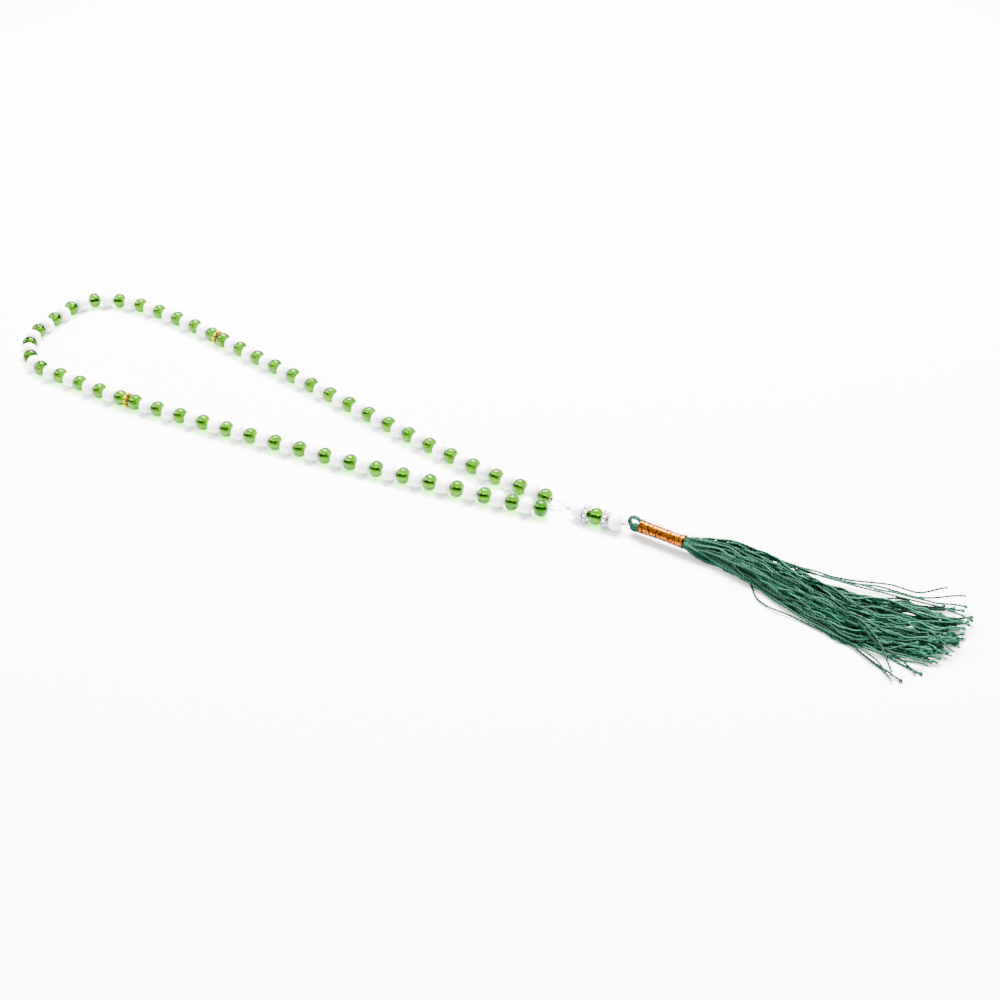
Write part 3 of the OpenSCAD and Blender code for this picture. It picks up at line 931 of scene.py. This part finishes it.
def laid_cord(line, strands, spread, pitch):
    """Strands laid round a line that stays in the upright plane along the tassel."""
    fine = np.linspace(0, len(line) - 1, 90)
    spots = np.arange(len(line))
    x = np.interp(fine, spots, [p[0] for p in line])
    z = np.interp(fine, spots, [p[2] for p in line])
    for _ in range(3):
        x[1:-1] = (x[:-2] + x[2:]) / 2
        z[1:-1] = (z[:-2] + z[2:]) / 2
    run = np.concatenate([[0], np.cumsum(np.hypot(np.diff(x), np.diff(z)))])
    slope = np.arctan2(np.gradient(z), np.gradient(x))
    laid = []
    for k in range(strands):
        a = 2 * np.pi * (run / pitch + k / strands)
        laid.append(list(zip(x - spread * np.cos(a) * np.sin(slope), spread * np.sin(a),
                             z + spread * np.cos(a) * np.cos(slope))))
    return laid


ring_cord = [(7.0, 0.1, 6.6), (5.7, 0.1, 7.1), (4.5, 0.1, 8.2), (3.0, 0, 8.8), (1.4, 0, 8.5),
             (0.2, 0, 7.5), (-0.2, 0, 6.1), (0.0, 0, 5.1), (0.5, 0, 4.1), (1.4, 0, 3.3), (2.8, 0, 2.95),
             (4.4, 0, 3.1), (5.7, 0, 3.5), (7.0, 0, 3.9)]
# Each turn of the lobe: sideways, how far along its head lies, and the heights it runs at.
eye_cords = []
for y, head, low, high in ((0.0, 1.8, 3.6, 4.4), (0.9, 0.85, 2.75, 4.25), (-0.9, 0.85, 2.75, 4.25),
                           (0.95, 1.9, 3.4, 3.8), (-0.95, 1.9, 3.4, 3.8), (1.7, 1.4, 2.9, 4.15),
                           (-1.7, 1.4, 2.9, 4.15)):
    middle = (low + high) / 2
    narrow = y * 0.8
    eye_cords.append([
        (7.0, narrow, low + 0.5), (5.6, narrow, low + 0.35), (3.8, y, low), (head + 0.9, y, low + 0.05),
        (head, y, middle), (head + 0.9, y, high - 0.05), (3.8, y, high), (5.6, narrow, high + 0.1),
        (7.0, narrow, high + 0.1)])
eye_cords += laid_cord(ring_cord, 4, 0.46, 6.5)
eye = string_mesh("tassel_eye_cords", [on_tassel(line) for line in eye_cords], 1.0, 0.22,
                  shades=[0.5, 0.4, 0.55, 0.3, 0.35, 0.5, 0.45, 0.65, 0.5, 0.6, 0.55])
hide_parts("tassel_eye")
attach(eye, "tassel_neck")

# ---------------------------------------------------------------------------------------------
# Neck. The folded strings lie side by side in a tight round bundle, and copper-coloured foil thread
# is wound over them for 22 mm, waisted in the middle, with two sparse passes laid over the first.

FOIL_R = 2.75
FLARE = 0.35
FOIL_HALF_WIDTH = 0.26
CORE_SPACING = 0.67
CORE_D = 0.66
CORE_FROM, CORE_TO = NECK_X + 0.4, NECK_X + NECK_L - 2.2
neck_lines = [[(CORE_FROM, 0, NECK_Z), (CORE_TO, 0, NECK_Z)]]
for ring_n in (1, 2, 3):
    for k in range(6 * ring_n):
        a = math.pi * k / (3 * ring_n)
        r = CORE_SPACING * ring_n
        y, z = r * math.cos(a), NECK_Z + r * math.sin(a)
        neck_lines.append([(CORE_FROM, y, z), (CORE_TO, y, z)])
core = string_mesh("tassel_neck_strings", [on_tassel(line) for line in neck_lines], CORE_D, 0.5)
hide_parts("tassel_neck_core")
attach(core, "tassel_neck")

# Each pass: its turns, its inset at each end, its lift, its unevenness, its way round, its thickness.
FOIL_PASSES = [(56, 0.15, 0.0, 0.05, 1, 1.0), (9.5, 0.5, 0.12, 0.45, -1, 0.8),
               (6.5, 0.7, 0.20, 0.6, 1, 0.7)]
foil_rng = np.random.default_rng(7)


def waist(share):
    """How far the neck swells beyond its waist, at a share of its length."""
    return FLARE * (2 * share - 1) ** 2


def winding(turns, inset, lift, wobble, way):
    """A helix of foil thread over the neck, in the tassel's frame."""
    count = int(turns * 20)
    start, stop = NECK_X + inset, NECK_X + NECK_L - inset
    drift = np.interp(np.arange(count), np.linspace(0, count, 40), foil_rng.normal(0, wobble, 40))
    line = []
    for k in range(count + 1):
        s = k / count
        x = start + (stop - start) * s + drift[min(k, count - 1)]
        r = FOIL_R - 0.04 + waist((x - NECK_X) / NECK_L) + lift
        a = way * 2 * math.pi * turns * s
        line.append((x, r * math.cos(a), NECK_Z + r * math.sin(a)))
    return line


FOIL_FLATNESS = 0.13
eighths = [math.pi * k / 4 for k in range(8)]
foil_section = eight_sided("foil_section", [(FOIL_FLATNESS * math.cos(a), math.sin(a)) for a in eighths],
                           [math.sin(a) ** 2 for a in eighths])

wound, ins, out = node_tree("wound_foil", {
    "Section": "Object", "Half Width": "Float", "Axis From": "Vector", "Axis Along": "Vector",
    "Finish": "Material"})
path = add(wound, "GeometryNodeMeshToCurve", Mesh=ins["Geometry"])
here = add(wound, "ShaderNodeVectorMath", {"operation": "SUBTRACT"},
           i0=add(wound, "GeometryNodeInputPosition").outputs[0], i1=ins["Axis From"])
foot = add(wound, "ShaderNodeVectorMath", {"operation": "PROJECT"}, i0=here.outputs[0],
           i1=ins["Axis Along"])
outward = add(wound, "ShaderNodeVectorMath", {"operation": "SUBTRACT"}, i0=here.outputs[0],
              i1=foot.outputs[0])
facing = add(wound, "GeometryNodeSetCurveNormal", {"mode": "FREE"}, Curve=path.outputs[0],
             Normal=outward.outputs[0])
sweep(wound, ins, out, facing.outputs[0], *drawn_section(wound, ins))

copper_foil = bpy.data.materials.new("copper_foil")
_, foil_shader = finish_with(
    copper_foil, WORN_AND_SHADED_METAL, 0.2, 0.00004, Bright=(0.20, 0.055, 0.0014, 1),
    Dark=(0.014, 0.005, 0.0008, 1), Tarnish=1.0, Scale=520.0, Roughness_A=0.24, Roughness_B=0.5)
foil_shader.inputs["Metallic"].default_value = 1

across_tassel = on_tassel([(NECK_X, 0, NECK_Z), (NECK_X + NECK_L, 0, NECK_Z)])
foil_lines = [winding(*shape) for *shape, _ in FOIL_PASSES]

# The foil has rubbed off in flecks 0.42 mm long and a twentieth of a turn wide, set on a slant.
FLECK_L = 0.42
FLECK_SLANT = 7
FLECK_SHARE = 0.32
FLECK_DARK = 0.95
foil_flecks_and_end_shade = []
bare_spots = foil_rng.random((64, 24)) < FLECK_SHARE
for line in foil_lines:
    for x, y, z in line:
        turned = math.atan2(z - NECK_Z, y) / (2 * math.pi) + 0.5
        spot = bare_spots[int((x - NECK_X) / FLECK_L + FLECK_SLANT * turned) % 64, int(turned * 20)]
        # The foil's first 0.4 mm and last 0.55 mm are painted dark, as shade where it meets the strings.
        end = x < NECK_X + 0.4 or x > NECK_X + NECK_L - 0.55
        foil_flecks_and_end_shade.append(1.0 if end else FLECK_DARK * spot)
foil_base = chains("tassel_foil", [on_tassel(line) for line in foil_lines],
                   [[share] * len(line) for (*_, share), line in zip(FOIL_PASSES, foil_lines)])
mark(foil_base, "crevice", foil_flecks_and_end_shade)
foil_winding = grown("tassel_foil", wound, foil_base, {
    "Section": foil_section, "Half Width": FOIL_HALF_WIDTH * MM,
    "Axis From": Vector(across_tassel[0]) * MM,
    "Axis Along": Vector(across_tassel[1]) - Vector(across_tassel[0]), "Finish": copper_foil})
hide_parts("tassel_neck_foil")
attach(foil_winding, "tassel_neck")

# A ground of foil under the windings, so that no string shows between them. It is marked dark, as painted
# shade in the gaps between the turns.
outside = [(s * NECK_L + NECK_X, FOIL_R - 0.2 + waist(s)) for s in np.linspace(0.004, 0.996, 15)]
sleeve = lathe("tassel_foil_ground", outside + [(x, r - 0.3) for x, r in outside[::-1]], 40)
mark(sleeve, "crevice", 0.9)
sleeve.data.transform(
    Matrix.Translation((EYE_BAR.x * MM, EYE_BAR.y * MM, NECK_Z * MM))
    @ Matrix.Rotation(math.atan2(*(NECK_END - EYE_BAR).to_2d().yx), 4, "Z"))
sleeve.data.materials.append(copper_foil)
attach(sleeve, "tassel_neck")

# ---------------------------------------------------------------------------------------------
# Skirt. About a hundred loose strings swell out below the neck in locks that cross over one another and
# lie in a low fan. A few stray to the near side and the far side, and one bows out of the near edge.
# Their ends are tied in tiny knots or left to fray.

SKIRT_L = 123.0

# Each row: share of the length, middle from side to side, width and height.
SKIRT = np.array([
    (0.0, 0, 6, 8.2), (0.04, 0.8, 8.6, 9.0), (0.08, 2.2, 11, 9.4), (0.14, 3.4, 12.5, 9.4),
    (0.27, 0.8, 18, 9.4), (0.37, -2.6, 22, 8.8), (0.61, -9, 31, 7.6), (0.76, -8, 34, 6.6),
    (0.88, -6, 34, 5.6), (1.0, -3, 34, 4.6)])

# Each stray: (along, sideways) points, (along, above) points and its length.
STRAYS = [
    ([(0, 0), (26, -5), (33, -7.6), (35.2, -13), (38, -16.3), (46, -19.2), (61, -21.8), (78, -25),
      (96, -34), (101, -37)], [(0, 5), (33, 0.8), (100, 0.6), (101, 1.2)], 97.5),
    ([(0, 0), (30, -8), (61, -21), (82, -26.5), (94, -31.5), (100, -39.5)],
     [(0, 5), (40, 1.6), (94, 1.4), (100, 0.8)], 100.0),
    ([(0, 0), (30, -7), (60, -19), (84, -28), (96, -34.5), (106, -38.5)],
     [(0, 5), (40, 2.6), (94, 0.8), (106, 0.5)], 104.5),
    ([(0, 0), (34, -9), (66, -21.5), (90, -24.5), (100, -27), (112, -30.5)],
     [(0, 5), (40, 1.0), (112, 0.6)], 110.5),
    ([(0, 0), (36, -9), (70, -15), (82, -17), (92, -24), (97, -31), (100, -36)],
     [(0, 5), (30, 7.5), (70, 7.6), (84, 6.4), (97, 1.6), (100, 1.0)], 99.0),
    ([(0, 0), (36, -6), (66, -10), (80, -17), (88, -23.5), (99, -26), (112, -33)],
     [(0, 5), (30, 8.2), (66, 7.8), (84, 6.0), (96, 2.2), (112, 0.9)], 108.0),
    ([(0, 0), (18, 8.5), (50, 7), (70, 8), (86, 13.5), (98, 13), (107, 19.5)],
     [(0, 5), (18, 4), (70, 4.6), (98, 4.4), (107, 7.0)], 106.0),
    ([(0, 0), (20, 8), (48, 6.5), (66, 8.5), (80, 12), (96, 11.5), (115, 19)],
     [(0, 5), (20, 5), (66, 2.4), (96, 3.0), (115, 5.2)], 114.0),
    ([(0, 0), (22, 7), (56, 5), (84, 9.5), (104, 11.5), (118, 16)],
     [(0, 5), (20, 6.4), (84, 3.6), (118, 3.0)], 117.0),
    ([(0, 0), (24, 7), (60, 4), (90, 7), (110, 10.5), (122, 8.5)],
     [(0, 5), (20, 7), (90, 4.4), (122, 1.8)], 121.0)]
STATION = 1.5
IN_NECK = 1.5
skirt_rng = np.random.default_rng(41)
stations = np.concatenate([[-IN_NECK], np.arange(0, SKIRT_L + 4, STATION)])
share = np.clip(stations / SKIRT_L, 0, 1)

# Each lock: its place from side to side, its place from the table up, and its strings.
CLUMPS = [(-0.88, 0.10, 7), (-0.62, 0.12, 7), (-0.34, 0.12, 7), (-0.06, 0.12, 6), (0.24, 0.12, 6),
          (0.54, 0.12, 6), (0.84, 0.12, 5), (-0.72, 0.5, 6), (-0.36, 0.5, 6), (0.0, 0.5, 5),
          (0.36, 0.52, 5), (0.68, 0.5, 4), (-0.3, 0.9, 5), (0.2, 0.88, 4), (-0.8, 0.35, 5),
          (-0.5, 0.75, 4)]


def waves(count, size, longest, rises=22):
    """Sideways wander along a string in millimetres, growing from nothing at the neck."""
    total = np.zeros(len(stations))
    for _ in range(count):
        length = longest * skirt_rng.uniform(0.35, 1.0)
        total += np.sin(2 * np.pi * (stations / length + skirt_rng.random())) * skirt_rng.uniform(0.4, 1)
    return total * size / math.sqrt(count) * np.clip(stations / rises, 0, 1)


def half_oval(u, v, centre, width, height):
    """A place in the skirt's cross-section: u from side to side, v from the table up."""
    u = np.clip(u, -1, 1)
    return (centre + (width / 2 - 0.4) * u,
            0.45 + (height - 0.9) * v * np.sqrt(np.clip(1 - u * u * 0.85, 0.05, 1)))


def place_strings():
    """Every string's wished-for path as (y, z) at the stations, with its length."""
    paths, lengths, homes = [], [], []
    rows = [np.interp(share, SKIRT[:, 0], SKIRT[:, n]) for n in (1, 2, 3)]
    for u0, v0, count in CLUMPS:
        drift_y, drift_z = waves(2, 1.5, 110), waves(2, 0.8, 90)
        swirl = skirt_rng.uniform(-0.9, 0.9)
        for k in range(count):
            reach_out = skirt_rng.uniform(0.1, 1.0) ** 0.6
            a = skirt_rng.uniform(0, 2 * np.pi) + swirl * 2 * np.pi * share
            spread = reach_out * (0.08 + 0.14 * share)
            u = u0 + spread * np.cos(a)
            if k % 3 == 2:
                u = u + skirt_rng.normal(0, 0.55) * np.sin(np.pi * np.clip(share * 1.1, 0, 1)) ** 2
            y, z = half_oval(u, np.clip(v0 + spread * 1.6 * np.sin(a), 0, 1), *rows)
            # The lock wanders as one, each string strays from it, and a crimp runs along the string.
            y = y + drift_y + waves(3, 1.0, 34) + waves(2, 0.16, 9)
            z = z + drift_z + waves(3, 0.7, 30) + waves(2, 0.12, 9)
            paths.append(np.stack((y, z), -1))
            lengths.append(SKIRT_L * (0.995 - 0.07 * abs(u0 - 0.1) ** 1.5) - skirt_rng.uniform(0, 9))
            homes.append((u0, v0))
    for sideways, above, length in STRAYS:
        y = np.interp(stations, *zip(*sideways)) + waves(3, 0.3, 30)
        z = np.interp(stations, *zip(*above)) + waves(3, 0.3, 30)
        for _ in range(3):
            y[1:-1] = (y[:-2] + 2 * y[1:-1] + y[2:]) / 4
            z[1:-1] = (z[:-2] + 2 * z[1:-1] + z[2:]) / 4
        paths.append(np.stack((y, z), -1))
        lengths.append(length)
        homes.append((math.copysign(0.85, sideways[-1][1]), 0.4))
    return np.array(paths), np.array(lengths), homes


SPRUNG = 15


def kinked(path, length):
    """Bends the last stretch of a string off to one side, the way stiff ends spring out."""
    t = np.clip((stations - (length - SPRUNG)) / SPRUNG, 0, 1.1)
    path[:, 0] += skirt_rng.normal(0, 2.6) * t ** 2
    path[:, 1] += abs(skirt_rng.normal(0, 1.5)) * t ** 2
    for _ in range(3):
        at, bend = skirt_rng.uniform(25, length), skirt_rng.normal(0, 0.07)
        path[:, 0] += np.clip(stations - at, 0, 12) * bend


def neck_places(homes):
    """Every string's place on the neck's round end, from -1 to 1 across and up."""
    sideways, above = np.array(homes).T + skirt_rng.normal(0, 0.08, (2, len(homes)))
    across = np.argsort(np.argsort(sideways)) / (len(homes) - 1) * 1.8 - 0.9
    up = np.argsort(np.argsort(above)) / (len(homes) - 1) * 1.9 - 0.95
    return np.stack((across, up * np.sqrt(1 - across ** 2)), -1)


def settle(wished, homes, lengths, rounds=50):
    """Parts strings that lie in one another and keeps them on the table."""
    # How close they may lie, how wide the neck's end seats them, and how firmly it holds them.
    squeeze = np.interp(stations, [0, 16], [0.50, 0.78])
    swell = np.interp(stations, [0, 10], [2.35, 4.6])
    hold = np.interp(stations, [1, 6, 13], [1, 0.6, 0])[None, :, None]
    seat = neck_places(homes)[:, None, :] * swell[None, :, None] + np.array([0, NECK_Z])
    live = stations[None, :] <= lengths[:, None] + STATION
    wished = wished * (1 - hold) + seat * hold
    pushed = np.zeros_like(wished)
    for n in range(rounds):
        paths = wished + pushed
        gap = paths[:, None] - paths[None, :]
        far = np.sqrt((gap ** 2).sum(-1)) + 1e-6
        push = np.clip(squeeze - far, 0, None) * (live[:, None] & live[None, :])
        np.einsum("iij->ij", push)[:] = 0
        paths = paths + 0.45 * (gap * (push / far)[..., None]).sum(1)
        from_axis = paths[:, :2] - np.array([0, NECK_Z])
        out_by = np.maximum(np.sqrt((from_axis ** 2).sum(-1, keepdims=True)) / 2.5, 1)
        paths[:, :2] = from_axis / out_by + np.array([0, NECK_Z])
        paths[..., 1] = np.clip(paths[..., 1], 0.42, 9.9)
        pushed = paths - wished
        if n < rounds - 3:
            pushed[:, 1:-1] = 0.5 * pushed[:, 1:-1] + 0.25 * (pushed[:, :-2] + pushed[:, 2:])
    return paths


paths, lengths, homes = place_strings()
for path, length in zip(paths[:-len(STRAYS)], lengths):
    kinked(path, length)
paths = settle(paths, homes, lengths)


# Inside the foil the strings run aslant, as the neck does, and squeezed. They fill out below it.
NECK_FALL = 0.0875
SQUEEZED = 0.66
FULL_AFTER = 12


def string_line(path, length):
    """One string's points in millimetres in the frame of the whole part, cut to its length."""
    x = np.append(stations[stations < length - 0.3], length)
    y = np.interp(x, stations, path[:, 0]) + np.where(x < 0, -x * NECK_FALL, 0)
    z = np.interp(x, stations, path[:, 1])
    return np.stack((NECK_END.x + x, NECK_END.y + y, z), -1)


def string_end(line, knotted):
    """Thickness shares for a string and short fibres for its end: a tiny knot, or a fray."""
    run = np.concatenate([[0], np.cumsum(np.linalg.norm(np.diff(line, axis=0), axis=1))])
    shares = np.interp(run, [0, FULL_AFTER], [SQUEEZED, 1.0]).tolist()
    tip, way = line[-1], line[-1] - line[-2]
    way = way / np.linalg.norm(way)
    across = np.array([-way[1], way[0], 0])
    if knotted:
        curl = []
        for k in range(13):
            a = 2 * math.pi * k / 6
            side = across * math.cos(a) + np.array([0, 0, 1]) * math.sin(a)
            curl.append((tip - way * (1.3 - 0.08 * k) + side * 0.48).tolist())
        return shares, [curl], [[0.85] * len(curl)]
    fibres, sizes = [], []
    for _ in range(5):
        lean = across * skirt_rng.normal(0, 0.3) + np.array([0, 0, 1]) * skirt_rng.normal(0, 0.2)
        fibres.append([(tip - way * 0.5).tolist(), (tip + way * 0.5 + lean * 0.6).tolist(),
                       (tip + way * 1.3 + lean * 1.4).tolist()])
        sizes.append([0.66, 0.52, 0.4])
    return shares, fibres, sizes


def keep_skirt_piece(made):
    """A string mesh with its place baked into its points."""
    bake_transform(made)


# The strays and the highest strings are single pieces. The others are joined, for there are too many.
MOST_SINGLES = 38
INNER_PIECES = 4
CREST = 30
in_locks = len(paths) - len(STRAYS)
by_height = sorted(range(in_locks), key=lambda n: -paths[n][CREST, 1])
singles = set(by_height[:MOST_SINGLES - len(STRAYS)]) | set(range(in_locks, len(paths)))
inner = []
for n, (path, length) in enumerate(zip(paths, lengths)):
    line = string_line(path, length)
    knotted = skirt_rng.random() < 0.5
    shares, extra, extra_shares = string_end(line, knotted)
    tone = float(np.clip(skirt_rng.normal(0.45, 0.24), 0.0, 1.0))
    lines, widths, tones = [line.tolist()] + extra, [shares] + extra_shares, [tone] + [0.85] * len(extra)
    if n not in singles:
        inner.append((lines, widths, tones))
        continue
    single = string_mesh(f"skirt_string_{n:03d}", lines, STRING_D, 0.3, widths, tones)
    keep_skirt_piece(single)
    if n == by_height[0]:
        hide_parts("tassel_skirt")
for k in range(INNER_PIECES):
    lines, widths, tones = [sum(kind, []) for kind in zip(*inner[k::INNER_PIECES])]
    keep_skirt_piece(string_mesh(f"skirt_inner_strings_{k + 1}", lines, STRING_D, 0.3, widths, tones))

# ---------------------------------------------------------------------------------------------
# Loose thread end. A curled clipping of the clear thread, left from tying the link, is caught under
# the head of the foil and springs out over the neck.

loose_end = on_tassel([
    (4.4, 0.9, 7.6), (6.2, 1.2, 8.4), (8.6, 1.0, 9.3), (11, 0.2, 9.6), (13.2, 0.1, 9.5), (15.2, 0.5, 9.2),
    (17.2, 0.8, 9.4), (19.4, -0.4, 9.3), (21.8, -1.2, 9.3), (24.4, -1.3, 9.5), (27, -1.0, 9.9),
    (29.6, -0.6, 10.2), (32.2, -0.3, 10.5), (34.8, -0.7, 10.6)])
CLIPPING_R = 0.16
loose = nylon_line("loose_thread_end", [loose_end], CLIPPING_R, 0.4, 8, "tassel_neck", None)
for spent in (ply_section, foil_section):
    bpy.data.objects.remove(spent)
